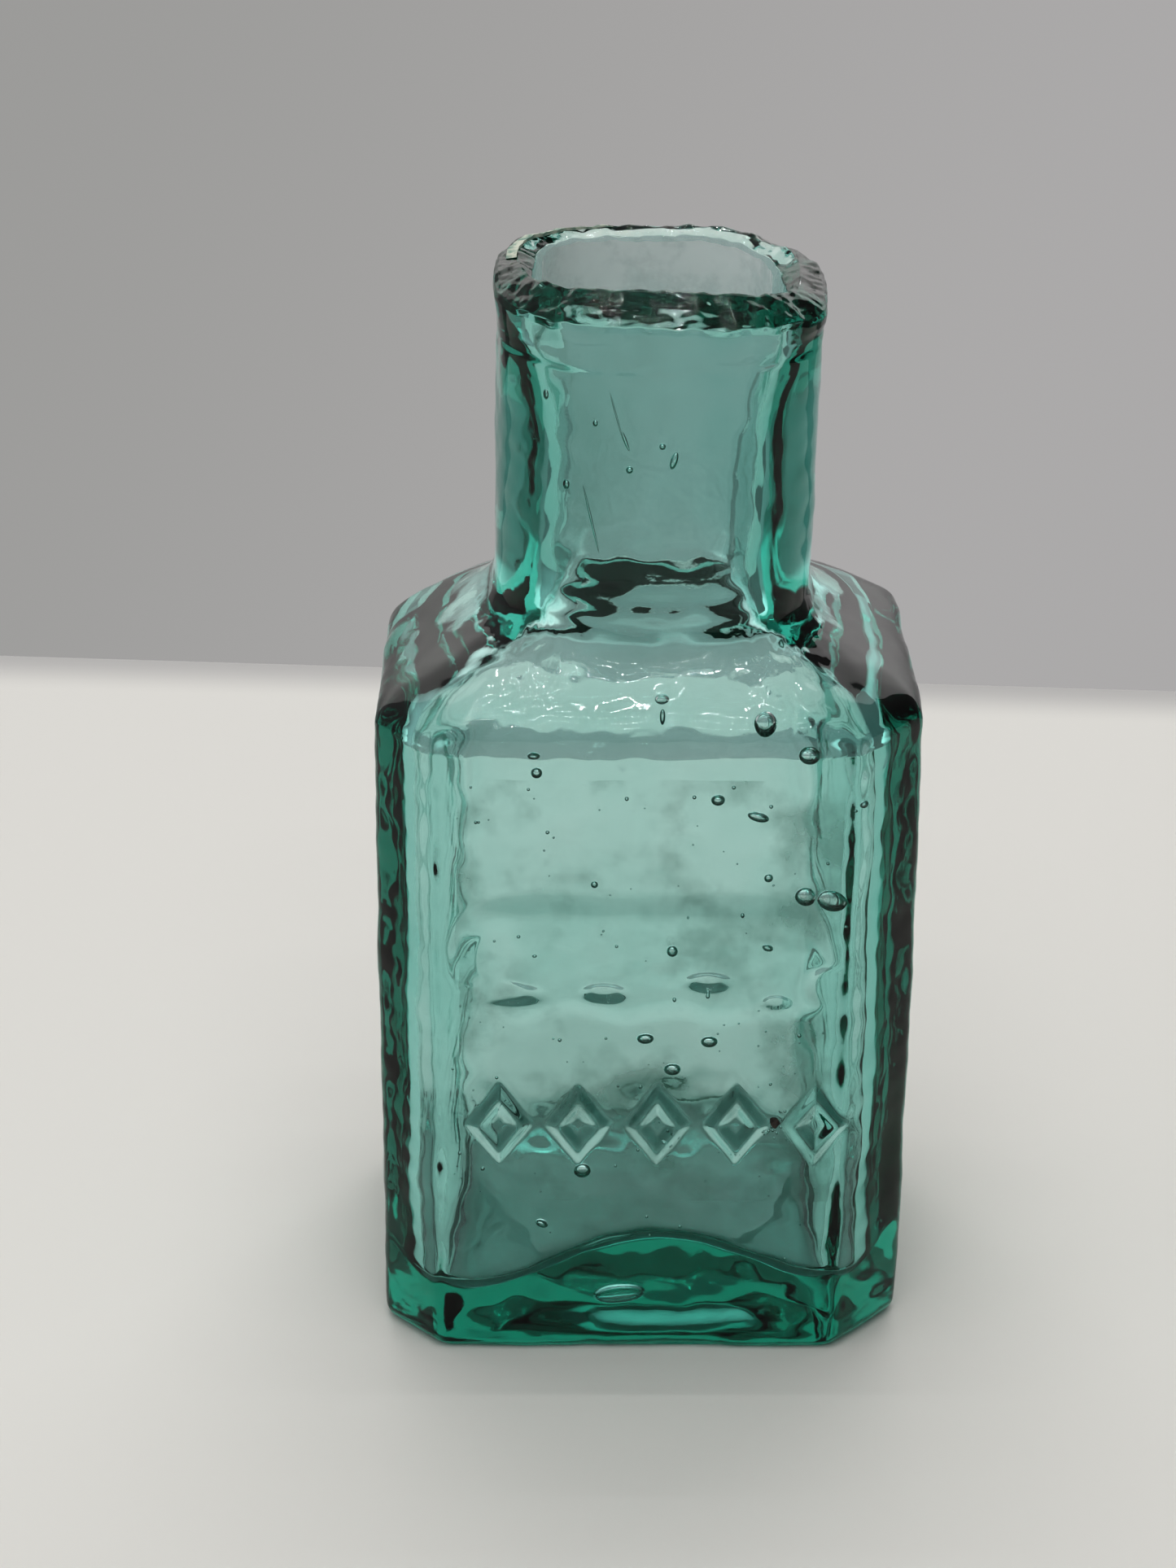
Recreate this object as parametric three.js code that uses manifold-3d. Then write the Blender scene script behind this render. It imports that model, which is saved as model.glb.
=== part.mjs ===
// Antique mould-blown aqua glass bottle, empty, with a sheared lip.
// Millimetres, +Z up, front face towards -Y, resting on Z = 0.
import * as THREE from 'three';
import { mergeVertices } from 'three/addons/utils/BufferGeometryUtils.js';
import Module from 'manifold-3d';

const wasm = await Module();
wasm.setup();

// Driving dimensions.
const WIDTH = 38.6;
const DEPTH = 32.4;
const HEIGHT = 79.7;
const NECK_WIDTH = 22.8;
const WALL = 2.9;
const CHAMFER_LEFT = 4.0;
const CHAMFER_RIGHT = 5.0;
const RELIEF = 0.5;

const SHOULDER_SHARE = 0.616;
const SHOULDER_RISE = 7.6;
const SAG = 3.4;
const LIP_DEPTH = 5.2;
const FLOOR_EDGE = 3.4;
const FLOOR_RISE = 4.8;
const HEEL = 1.0;

// Heights worked out from the driving dimensions. The flat joint between body and
// shoulder lies just below the lowest point of the sagging edge.
const SHOULDER_EDGE = HEIGHT * SHOULDER_SHARE;
const SHOULDER_TOP = SHOULDER_EDGE + SHOULDER_RISE;
const JOINT_MARGIN = 0.4;
const BODY_TOP = SHOULDER_EDGE - SAG - JOINT_MARGIN;
const LIP_BOTTOM = HEIGHT - LIP_DEPTH;
const BASE_MARGIN = 1.2;
const BASE_TOP = FLOOR_EDGE + FLOOR_RISE + BASE_MARGIN;

// The raised ornament stands proud of the front, so the body sits back by half of it
// and the whole bottle stays centred on the origin.
const CENTRE_Y = RELIEF / 2;
const FRONT_Y = CENTRE_Y - DEPTH / 2;

const halfWidth = WIDTH / 2;
const halfDepth = DEPTH / 2;
const neckHalf = NECK_WIDTH / 2;
const neckWall = WALL - 0.2;
const neckChamfer = neckHalf / 2;
const neckTaper = WALL * 0.6;
const bodyChamfers = [CHAMFER_LEFT, CHAMFER_RIGHT, CHAMFER_RIGHT, CHAMFER_LEFT];

// Hand-made unevenness: the body leans a little to the left and the neck back to the right.
const LEAN = [[0, 0.1], [SHOULDER_EDGE, -0.15], [SHOULDER_TOP, 0.15], [HEIGHT, 0.35]];

function lean(z) {
  const upper = Math.max(1, LEAN.findIndex(([height]) => height >= z));
  const [z0, x0] = LEAN[upper - 1];
  const [z1, x1] = LEAN[upper];
  return x0 + (x1 - x0) * (z - z0) / (z1 - z0);
}

// ---- plan sections -------------------------------------------------------------

// A section is a rectangle with four chamfered corners; sharpness rounds its corners.
function section(halfX, halfY, chamfers, sharpness) {
  return { halfX, halfY, chamfers, sharpness };
}

function neckSection(half) {
  return section(half, half, Array(4).fill(neckChamfer * half / neckHalf), 9);
}

// Plan of the bore, which is narrower in width below the lip: 0 at the lip, 1 fully narrowed.
function boreSection(narrowing) {
  const half = neckHalf - neckWall;
  const chamfers = Array(4).fill(neckChamfer * half / neckHalf);
  return section(half - neckTaper * narrowing, half, chamfers, 9);
}

function bodySection(inset, sharpness) {
  const chamfers = bodyChamfers.map((leg) => leg + inset * 0.35);
  return section(halfWidth - inset, halfDepth - inset, chamfers, sharpness);
}

// Half-way sections between the body and the neck, share 0 at the body and 1 at the neck.
function blendSection(a, b, share) {
  const mix = (x, y) => x + (y - x) * share;
  const sharpness = 1 / mix(1 / a.sharpness, 1 / b.sharpness);
  const chamfers = a.chamfers.map((leg, i) => mix(leg, b.chamfers[i]));
  return section(mix(a.halfX, b.halfX), mix(a.halfY, b.halfY), chamfers, sharpness);
}

// Distance from the middle of a section to its outline in the direction of an angle.
function reach(plan, angle) {
  const x = Math.cos(angle);
  const y = Math.sin(angle);
  const sides = [x / plan.halfX, -x / plan.halfX, y / plan.halfY, -y / plan.halfY];
  const corners = [[-1, -1], [1, -1], [1, 1], [-1, 1]];
  corners.forEach(([sx, sy], i) => {
    sides.push((sx * x + sy * y) / (plan.halfX + plan.halfY - plan.chamfers[i]));
  });
  const top = Math.max(...sides);
  const sum = sides.reduce((total, side) => total + Math.max(0, side / top) ** plan.sharpness, 0);
  return 1 / (top * sum ** (1 / plan.sharpness));
}

// Angles of the points round every section, crowded at the corners of the body.
function bodyAngles() {
  const x = halfWidth;
  const y = halfDepth;
  const [fl, fr, br, bl] = bodyChamfers;
  const corners = [
    [-x + fl, -y], [x - fr, -y], [x, -y + fr], [x, y - br],
    [x - br, y], [-x + bl, y], [-x, y - bl], [-x, -y + fl],
  ];
  const long = [0, 0.03, 0.08, 0.15, 0.23, 0.32, 0.41, 0.5, 0.59, 0.68, 0.77, 0.85, 0.92, 0.97];
  const short = [0, 0.12, 0.35, 0.65, 0.88];
  const angles = [];
  corners.forEach((from, i) => {
    const to = corners[(i + 1) % corners.length];
    for (const share of i % 2 === 0 ? long : short) {
      angles.push(Math.atan2(from[1] + (to[1] - from[1]) * share, from[0] + (to[0] - from[0]) * share));
    }
  });
  return angles;
}

const ANGLES = bodyAngles();

// The shoulder's lower edge sags towards the back left corner.
function sag(x, y) {
  const left = Math.max(0, -x / halfWidth) ** 2;
  return SAG * left * Math.max(0, (y / halfDepth + 0.6) / 1.6);
}

// Height at a share of the way up the shoulder, 0 at its lower edge and 1 at the neck.
function shoulderHeight(up) {
  return (x, y) => SHOULDER_EDGE + (SHOULDER_TOP - SHOULDER_EDGE) * up - sag(x, y) * (1 - up);
}

// One ring of points; height may be a number or a function of x and y.
function ring(plan, height, scale = 1, angles = ANGLES) {
  return angles.map((angle) => {
    const r = reach(plan, angle) * scale;
    const x = r * Math.cos(angle);
    const y = r * Math.sin(angle);
    const z = typeof height === 'function' ? height(x, y) : height;
    return new THREE.Vector3(x + lean(z), y + CENTRE_Y, z);
  });
}

// ---- closed bodies -------------------------------------------------------------

// Joins rings into a closed skin. With end points the skin closes on the axis;
// without them the last ring joins the first, which makes a tube.
function loft(rings, startPoint, endPoint) {
  const count = rings[0].length;
  const points = rings.flat();
  const faces = [];
  const bands = startPoint ? rings.length - 1 : rings.length;
  for (let band = 0; band < bands; band += 1) {
    const lower = band * count;
    const upper = ((band + 1) % rings.length) * count;
    for (let i = 0; i < count; i += 1) {
      const next = (i + 1) % count;
      faces.push(lower + i, lower + next, upper + next);
      faces.push(lower + i, upper + next, upper + i);
    }
  }
  if (startPoint) {
    const first = points.push(startPoint) - 1;
    const last = points.push(endPoint) - 1;
    const top = (rings.length - 1) * count;
    for (let i = 0; i < count; i += 1) {
      const next = (i + 1) % count;
      faces.push(first, next, i);
      faces.push(last, top + i, top + next);
    }
  }
  return geometryFrom(points, faces);
}

function geometryFrom(points, faces) {
  const geometry = new THREE.BufferGeometry();
  const flat = points.flatMap((p) => [p.x, p.y, p.z]);
  geometry.setAttribute('position', new THREE.Float32BufferAttribute(flat, 3));
  geometry.setIndex(faces);
  return geometry;
}

function toManifold(geometry) {
  return new wasm.Manifold(new wasm.Mesh({
    numProp: 3,
    vertProperties: new Float32Array(geometry.getAttribute('position').array),
    triVerts: new Uint32Array(geometry.getIndex().array),
  }));
}

function fromManifold(solid) {
  const mesh = solid.getMesh();
  const geometry = new THREE.BufferGeometry();
  geometry.setAttribute('position', new THREE.Float32BufferAttribute(mesh.vertProperties, 3));
  geometry.setIndex(Array.from(mesh.triVerts));
  return geometry;
}

// Leaves only the merged corner points of a three.js geometry, so that it is one skin.
function asSkin(geometry) {
  geometry.deleteAttribute('normal');
  geometry.deleteAttribute('uv');
  return mergeVertices(geometry, 1e-5);
}

// Ornament on the front: a shape drawn in x and z, raised from the front face.
function raised(shape, x, z) {
  const options = { depth: RELIEF, bevelEnabled: false, curveSegments: 14 };
  const geometry = new THREE.ExtrudeGeometry(shape, options);
  geometry.rotateX(Math.PI / 2);
  geometry.translate(x, FRONT_Y, z);
  return asSkin(geometry);
}

// ---- the five zones of the glass ------------------------------------------------

const inner = (inset) => bodySection(WALL + inset, 60);

// The floor inside is a hump against the front wall that falls away to the back and sides.
function floorHeight(x, y) {
  const across = Math.min(1, Math.abs((x - 1.2) / (halfWidth - WALL)));
  const forward = Math.max(0, 1 - y / (halfDepth - WALL)) / 2;
  const hump = Math.cos(across * Math.PI / 2) ** 2;
  return FLOOR_EDGE + FLOOR_RISE * hump * (0.1 + 0.9 * forward ** 1.3);
}

function makeBase() {
  const inward = [1, 0.94, 0.84, 0.7, 0.54, 0.36, 0.18];
  const soleReach = [0.18, 0.5, 0.8];
  const rings = soleReach.map((scale) => ring(bodySection(0.7, 160), 0, scale));
  rings.push(ring(bodySection(0.7, 160), 0));
  rings.push(ring(bodySection(0.25, 160), HEEL * 0.35));
  rings.push(ring(bodySection(0.05, 160), HEEL));
  rings.push(ring(bodySection(0, 160), HEEL * 2.2));
  rings.push(ring(bodySection(0, 160), BASE_TOP));
  rings.push(ring(inner(0), BASE_TOP));
  inward.forEach((scale, i) => {
    const lift = i === 0 ? 0.9 : 0;
    rings.push(ring(inner(i === 0 ? 0 : 0.3), (x, y) => floorHeight(x, y) + lift, scale));
  });
  const sole = new THREE.Vector3(0, CENTRE_Y, 0);
  const floor = new THREE.Vector3(0, CENTRE_Y, floorHeight(0, 0));
  return loft(rings, sole, floor);
}

// The dark stone grain in the front wall, and the open pocket that it sits in.
const STONE = { x: 9.3, z: 19.4, width: 0.76, length: 0.6, pocketWidth: 1.3, pocketDepth: 0.8 };

function makePocket() {
  const radius = STONE.pocketWidth / 2;
  const geometry = new THREE.CylinderGeometry(radius, radius, STONE.pocketDepth * 2, 16);
  geometry.translate(STONE.x, FRONT_Y, STONE.z);
  return asSkin(geometry);
}

// A faceted grain standing on the pocket's flat end.
function makeStone() {
  const radius = STONE.width / 2;
  const geometry = new THREE.CylinderGeometry(radius, radius * 0.6, STONE.length, 7);
  geometry.translate(STONE.x, FRONT_Y + STONE.pocketDepth - STONE.length / 2, STONE.z);
  return asSkin(geometry);
}

function makeBody() {
  const rings = [
    ring(bodySection(0, 160), BASE_TOP),
    ring(bodySection(0, 160), BODY_TOP),
    ring(inner(0), BODY_TOP),
    ring(inner(0), BASE_TOP),
  ];
  const tube = toManifold(loft(rings));
  return fromManifold(tube.subtract(toManifold(makePocket())));
}

// Shoulder levels: share of the height from the body to the neck, share of the way in.
const SHOULDER_LEVELS = [
  [0, 0], [0.1, 0.02], [0.19, 0.09], [0.27, 0.2], [0.38, 0.42],
  [0.5, 0.66], [0.62, 0.84], [0.76, 0.95], [0.88, 0.99], [1, 1],
];
const CAVITY_LEVELS = [
  [0, 0], [0.08, 0.05], [0.17, 0.17], [0.3, 0.4], [0.44, 0.68], [0.6, 0.88], [0.8, 0.98], [1, 1],
];

function makeShoulder() {
  const outside = bodySection(0, 160);
  const inside = inner(0);
  const rings = [ring(outside, BODY_TOP)];
  for (const [up, across] of SHOULDER_LEVELS) {
    rings.push(ring(blendSection(outside, neckSection(neckHalf), across), shoulderHeight(up)));
  }
  for (const [up, across] of [...CAVITY_LEVELS].reverse()) {
    const plan = blendSection(inside, boreSection(1), across);
    rings.push(ring(plan, shoulderHeight(up)));
  }
  rings.push(ring(inside, BODY_TOP));
  return loft(rings);
}

// Bore levels: millimetres below the lip, share of the full narrowing.
const BORE_LEVELS = [[0, 0], [1.5, 0.3], [3, 0.68], [4.5, 0.92], [6.5, 1]];

function makeNeck() {
  const rings = [ring(neckSection(neckHalf), SHOULDER_TOP), ring(neckSection(neckHalf), LIP_BOTTOM)];
  for (const [below, narrowing] of BORE_LEVELS) {
    rings.push(ring(boreSection(narrowing), LIP_BOTTOM - below));
  }
  rings.push(ring(boreSection(1), SHOULDER_TOP));
  return loft(rings);
}

// ---- the sheared lip -------------------------------------------------------------

const LIP_ANGLES = Array.from({ length: 176 }, (_, i) => 2 * Math.PI * i / 176);

// Uneven break of the glass: a few waves that never line up, between -1 and 1.
function breakage(angle, offset) {
  const slow = 0.45 * Math.sin(3 * angle + offset) + 0.2 * Math.sin(7 * angle + 2.1 * offset);
  const fast = 0.2 * Math.sin(19 * angle + 5 * offset) + 0.15 * Math.sin(43 * angle + offset);
  return slow + fast;
}

// The crest stands highest at the front and falls away towards the back and the right.
function crestHeight(angle) {
  const front = (1 - Math.sin(angle)) / 2;
  const rightFall = 0.9 * Math.max(0, Math.cos(angle)) ** 2;
  const hump = 0.3 * Math.exp(-(((angle - 1.2) / 0.3) ** 2));
  return HEIGHT - 0.3 - 1.1 * (1 - front) - rightFall + hump + 0.2 * breakage(angle, 0.7);
}

// How far the outer edge lies below the crest: the break slopes outwards at the front.
function outerDrop(angle) {
  const front = Math.max(0, -Math.sin(angle)) ** 0.7;
  return 0.25 + 1.2 * front + 0.15 * (1 + breakage(angle, 2.4)) / 2;
}

// Where the crest runs across the wall: near the bore at the front, mid-wall at the back.
function crestShare(angle) {
  return 0.55 - 0.22 * Math.sin(angle);
}

// One ring of the lip: wall share 0 outside to 1 inside and height, both by the angle.
function lipRing(wallShare, grow, height, rough) {
  return LIP_ANGLES.map((angle) => {
    const share = wallShare(angle);
    const shape = neckSection(neckHalf + grow - neckWall * share);
    const r = reach(shape, angle) * (1 + rough * breakage(angle, 4 + 3 * share));
    const z = height(angle);
    return new THREE.Vector3(r * Math.cos(angle) + lean(z), r * Math.sin(angle) + CENTRE_Y, z);
  });
}

const at = (value) => () => value;
const crestRing = () => lipRing(crestShare, 0, crestHeight, 0.01);
const outerCrestRing = () => (
  lipRing((a) => crestShare(a) * 0.4, 0, (a) => crestHeight(a) - outerDrop(a) * 0.5, 0.01)
);

function makeLip() {
  return loft([
    lipRing(at(0), 0, at(LIP_BOTTOM), 0),
    lipRing(at(0), 0.2, at(LIP_BOTTOM + 1.2), 0.002),
    lipRing(at(0), 0.3, at(LIP_BOTTOM + 2.0), 0.003),
    lipRing(at(0), 0.15, (a) => crestHeight(a) - outerDrop(a) - 0.25, 0.005),
    lipRing(at(0.05), 0, (a) => crestHeight(a) - outerDrop(a), 0.01),
    outerCrestRing(),
    crestRing(),
    lipRing((a) => (1 + crestShare(a)) / 2, 0, (a) => crestHeight(a) - 0.15, 0.01),
    lipRing(at(1), 0, (a) => crestHeight(a) - 0.5 - 0.1 * breakage(a, 1), 0.01),
    lipRing(at(1), 0, at(LIP_BOTTOM + 1.2), 0.004),
    lipRing(at(1), 0, at(LIP_BOTTOM), 0),
  ]);
}

// Lime deposit: a thin crust lying on the crest of the lip between two angles,
// its underside the same facets as the glass it lies on.
function makeCrust(firstIndex, lastIndex, thickness) {
  const under = [outerCrestRing(), crestRing()].map((points) => points.slice(firstIndex, lastIndex + 1));
  const columns = lastIndex - firstIndex + 1;
  const over = under.map((points, row) => points.map((p, i) => {
    const fade = Math.sin(Math.PI * i / (columns - 1)) ** 0.5;
    const lift = i === 0 || i === columns - 1 ? 0 : thickness * fade * (0.8 + 0.2 * breakage(i, row));
    return new THREE.Vector3(p.x, p.y, p.z + lift);
  }));
  const points = [];
  const faces = [];
  for (let i = 0; i < columns; i += 1) {
    points.push(under[0][i], under[1][i], over[1][i], over[0][i]);
  }
  for (let i = 0; i < columns - 1; i += 1) {
    const a = i * 4;
    const b = a + 4;
    faces.push(a, a + 1, b + 1, a, b + 1, b);
    for (const [from, to] of [[1, 2], [2, 3], [3, 0]]) {
      faces.push(a + from, a + to, b + to, a + from, b + to, b + from);
    }
  }
  return weld(points, faces);
}

// Merges equal points and drops the faces that collapse, so tapered ends close.
function weld(points, faces) {
  const kept = [];
  const places = new Map();
  const index = points.map((p) => {
    const key = `${p.x.toFixed(5)},${p.y.toFixed(5)},${p.z.toFixed(5)}`;
    if (!places.has(key)) {
      places.set(key, kept.push(p) - 1);
    }
    return places.get(key);
  });
  const good = [];
  for (let i = 0; i < faces.length; i += 3) {
    const [a, b, c] = faces.slice(i, i + 3).map((f) => index[f]);
    if (a !== b && b !== c && a !== c) {
      good.push(a, b, c);
    }
  }
  return geometryFrom(kept, good);
}

// ---- raised ornament on the front --------------------------------------------------

// Five plain diamond frames in a row, the grain lying between the last two.
const MOTIF_PITCH = 5.7;
const MOTIF_WIDTH = 4.4;
const MOTIF_HEIGHT = 6.2;
const MOTIF_STROKE = 1.0;
const MOTIF_COUNT = 5;
const PANEL = { x: -0.4, z: 33.0, width: 27.4, height: 9.6 };

function diamond(Path, inset) {
  const x = MOTIF_WIDTH / 2 - inset * Math.hypot(1, MOTIF_WIDTH / MOTIF_HEIGHT);
  const z = MOTIF_HEIGHT / 2 - inset * Math.hypot(1, MOTIF_HEIGHT / MOTIF_WIDTH);
  return new Path([[x, 0], [0, z], [-x, 0], [0, -z]].map(([px, pz]) => new THREE.Vector2(px, pz)));
}

function makeMotif(index) {
  const frame = diamond(THREE.Shape, 0);
  frame.holes.push(diamond(THREE.Path, MOTIF_STROKE));
  const fromStone = index - (MOTIF_COUNT - 1.5);
  return raised(frame, STONE.x + MOTIF_PITCH * fromStone, STONE.z);
}

// A plain low panel with round ends.
function makePanel() {
  const radius = PANEL.height / 2;
  const straight = PANEL.width / 2 - radius;
  const shape = new THREE.Shape();
  shape.absarc(straight, 0, radius, -Math.PI / 2, Math.PI / 2, false);
  shape.absarc(-straight, 0, radius, Math.PI / 2, Math.PI * 1.5, false);
  return raised(shape, PANEL.x, PANEL.z);
}

// ---- assembly ------------------------------------------------------------------------

const glass = new THREE.MeshStandardMaterial({ color: 0x79ab9e, roughness: 0.12, metalness: 0 });
const stone = new THREE.MeshStandardMaterial({ color: 0x2b1d14, roughness: 0.85, metalness: 0 });
const lime = new THREE.MeshStandardMaterial({ color: 0xb9c2b4, roughness: 0.9, metalness: 0 });
glass.name = 'aqua_glass';
stone.name = 'stone';
lime.name = 'lime';

const bottle = new THREE.Group();
bottle.name = 'antique_bottle';

function facesOutward(geometry) {
  const points = geometry.getAttribute('position');
  const index = geometry.getIndex();
  const corner = [0, 1, 2].map(() => new THREE.Vector3());
  let volume = 0;
  for (let i = 0; i < index.count; i += 3) {
    corner.forEach((v, k) => v.fromBufferAttribute(points, index.getX(i + k)));
    volume += corner[0].dot(corner[1].cross(corner[2]));
  }
  return volume > 0;
}

// Turns a skin whose triangles face inwards the right way out.
function turnedOut(geometry) {
  if (facesOutward(geometry)) {
    return geometry;
  }
  const index = Array.from(geometry.getIndex().array);
  for (let i = 0; i < index.length; i += 3) {
    [index[i + 1], index[i + 2]] = [index[i + 2], index[i + 1]];
  }
  geometry.setIndex(index);
  return geometry;
}

function add(name, geometry, material) {
  const solid = turnedOut(geometry);
  solid.computeVertexNormals();
  const mesh = new THREE.Mesh(solid, material);
  mesh.name = name;
  bottle.add(mesh);
}

add('base', makeBase(), glass);
add('body', makeBody(), glass);
add('shoulder', makeShoulder(), glass);
add('neck', makeNeck(), glass);
add('lip', makeLip(), glass);
add('relief_panel', makePanel(), glass);
for (let index = 0; index < MOTIF_COUNT; index += 1) {
  add(`relief_motif_${index + 1}`, makeMotif(index), glass);
}
add('stone_grain', makeStone(), stone);
add('lime_crust', makeCrust(52, 84, 0.3), lime);

export default bottle;
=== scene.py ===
import math

import bpy
import numpy as np
from mathutils import Matrix, Vector


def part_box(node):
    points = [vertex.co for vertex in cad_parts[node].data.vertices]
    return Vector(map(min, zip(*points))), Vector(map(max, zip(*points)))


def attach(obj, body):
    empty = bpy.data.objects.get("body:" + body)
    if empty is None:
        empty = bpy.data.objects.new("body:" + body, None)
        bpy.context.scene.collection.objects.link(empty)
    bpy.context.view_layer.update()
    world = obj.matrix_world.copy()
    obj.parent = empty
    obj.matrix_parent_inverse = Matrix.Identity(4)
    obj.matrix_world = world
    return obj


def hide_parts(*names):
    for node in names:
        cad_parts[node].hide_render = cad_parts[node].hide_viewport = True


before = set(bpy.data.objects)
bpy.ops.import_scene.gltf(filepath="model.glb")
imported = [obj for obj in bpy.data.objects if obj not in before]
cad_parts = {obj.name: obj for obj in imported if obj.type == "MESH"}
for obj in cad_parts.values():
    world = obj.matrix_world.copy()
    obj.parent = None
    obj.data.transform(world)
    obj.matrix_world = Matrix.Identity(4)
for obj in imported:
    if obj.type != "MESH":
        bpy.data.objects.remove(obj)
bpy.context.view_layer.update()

MM = 0.001
TAU = 2 * math.pi


def span(node):
    """Lowest and highest corner of a CAD node, in millimetres."""
    low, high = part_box(node)
    return np.array(low) / MM, np.array(high) / MM


# ---- dimensions of the glass that no box in the frame gives, in millimetres ------------

SHOULDER_RISE = 7.6                 # height of the slope between body and neck
JOINT_MARGIN = 0.4                  # the CAD body ends this far below the sagging edge
CHAMFERS = (4.0, 5.0, 5.0, 4.0)     # legs of the corners: front left, front right, back right, back left
NECK_CHAMFERS = (5.7, 5.7, 5.7, 5.7)
BORE_CHAMFERS = (3.2, 2.6, 3.2, 3.2)

NECK_SIDE = 2.7                     # walls of the neck
NECK_FRONT = 3.6
NECK_BACK = 2.0
NECK_TAPER = 1.7                    # the bore loses this much of its half width below the lip
ROOT_RISE = 1.9                     # the hollow starts to widen this far above the neck's root

SIDE_WALL = 3.5                     # side wall at the floor
FRONT_WALL = 2.3                    # front wall above the floor
FLOOR_WALLS = (3.3, 3.2, SIDE_WALL) # front, back and side walls at the floor
BODY_WALLS = (FRONT_WALL, 1.9, 3.2) # the same above the floor
FLOOR_LEGS = (1.2, 1.0)             # added to the front and back chamfers of the hollow at the floor
BODY_LEGS = (-2.6, -4.4)            # the same above the floor
HOLLOW_SHIFT = -0.35                # the hollow sits this far off centre
SHOULDER_DROP = 1.1                 # the hollow's shoulder lies this much lower than the outer one

FLOOR_EDGE = 3.4                    # thickness of the floor at its edge
FLOOR_RISE = 4.8                    # height of the hump that stands on it
FLOOR_CORNER = 2.2                  # rounding between floor and walls
HUMP_MIDDLE = 1.2                   # the hump stands this far right of the middle
HEEL = 0.7                          # how far the foot is drawn in
DISH = 0.7                          # hollow under the base

# How sharp the corners of each section are; 2 is an ellipse.
SOLE_SHARP = 120
BODY_SHARP = 110
CAVITY_SHARP = 15
NECK_SHARP = 11
BORE_SHARP = 9


# ---- driving dimensions, in millimetres, read from the frame ---------------------------

BASE_LOW, BASE_HIGH = span("base")
BODY_LOW, BODY_HIGH = span("body")
NECK_LOW, NECK_HIGH = span("neck")
LIP_LOW, LIP_HIGH = span("lip")
PANEL_LOW, PANEL_HIGH = span("relief_panel")
STONE_LOW, STONE_HIGH = span("stone_grain")

HALF_X = (BASE_HIGH[0] - BASE_LOW[0]) / 2
HALF_Y = (BASE_HIGH[1] - BASE_LOW[1]) / 2
CENTRE_Y = (BODY_HIGH[1] + BODY_LOW[1]) / 2
FRONT_Y = BODY_LOW[1]
NECK_HALF = (NECK_HIGH[1] - NECK_LOW[1]) / 2
NECK_BOTTOM = NECK_LOW[2]
SHOULDER_EDGE = NECK_BOTTOM - SHOULDER_RISE
SAG = SHOULDER_EDGE - BODY_HIGH[2] - JOINT_MARGIN
LIP_BOTTOM = LIP_LOW[2]
HEIGHT = LIP_HIGH[2]
RELIEF = PANEL_HIGH[1] - PANEL_LOW[1]
STONE_MIDDLE = ((STONE_LOW + STONE_HIGH) / 2)[[0, 2]]


# ---- helpers for shapes and surface unevenness -----------------------------------------

def mix(a, b, share):
    """Value part of the way from a to b."""
    return a + (b - a) * share


def smoothstep(low, high, value):
    """Eased step from 0 at low to 1 at high."""
    t = np.clip((value - low) / (high - low), 0, 1)
    return t * t * (3 - 2 * t)


def eased(xs, keys, values, blur=5):
    """Reads a profile given by a few keys, with its corners eased."""
    fine = np.interp(xs, keys, values)
    kernel = np.hanning(blur + 2)[1:-1]
    padded = np.pad(fine, blur // 2, mode="edge")
    return np.convolve(padded, kernel / kernel.sum(), mode="valid")


def reach(angle, half_x, half_y, legs, sharp):
    """Distance from the axis to a rounded rectangle with four chamfered corners."""
    x, y = np.cos(angle), np.sin(angle)
    sides = [x / half_x, -x / half_x, y / half_y, -y / half_y]
    for leg, (sx, sy) in zip(legs, ((-1, -1), (1, -1), (1, 1), (-1, 1))):
        sides.append((sx * x + sy * y) / (half_x + half_y - leg))
    sides = np.maximum(0, np.array(np.broadcast_arrays(*sides)))
    top = sides.max(axis=0)
    total = ((sides / top) ** sharp).sum(axis=0)
    return 1 / (top * total ** (1 / sharp))


def waves(points, length, seed, count=22):
    """Smooth unevenness of about unit size, with the given wavelength in millimetres."""
    rng = np.random.default_rng(seed)
    total = np.zeros(points.shape[:-1])
    for _ in range(count):
        direction = rng.normal(size=3)
        direction /= np.linalg.norm(direction)
        wave = TAU / (length * rng.uniform(0.6, 1.5))
        total += np.sin(points @ direction * wave + rng.uniform(0, TAU))
    return total / math.sqrt(count / 2)


def ripple(points, layers):
    """Unevenness made of layers of (depth, wavelength, seed)."""
    return sum(depth * waves(points, length, seed) for depth, length, seed in layers)


# Points along each side and corner of the plan, from the front round to the front left corner.
SIDE_COUNTS = [190, 30, 80, 30, 120, 30, 80, 30]


def around():
    """Angles round the bottle, closest together across the front."""
    fl, fr, br, bl = CHAMFERS
    x, y = HALF_X, HALF_Y
    corners = [(-x + fl, -y), (x - fr, -y), (x, -y + fr), (x, y - br),
               (x - br, y), (-x + bl, y), (-x, y - bl), (-x, -y + fl)]
    angles = []
    for i, count in enumerate(SIDE_COUNTS):
        a, b = corners[i], corners[(i + 1) % len(corners)]
        for k in range(count):
            t = k / count
            angles.append(math.atan2(mix(a[1], b[1], t), mix(a[0], b[0], t)))
    return np.array(angles)


ANGLES = around()


def sag(x, y):
    """How far the shoulder's lower edge droops, most at the back left corner."""
    left = np.maximum(0, -x / HALF_X) ** 2
    return SAG * left * np.maximum(0, ((y - CENTRE_Y) / HALF_Y + 0.6) / 1.6)


def lean(z):
    """Sideways drift of the hand-made bottle with height."""
    return np.interp(z, [0, SHOULDER_EDGE, NECK_BOTTOM, HEIGHT], [0.1, -0.15, 0.15, 0.35])


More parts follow.
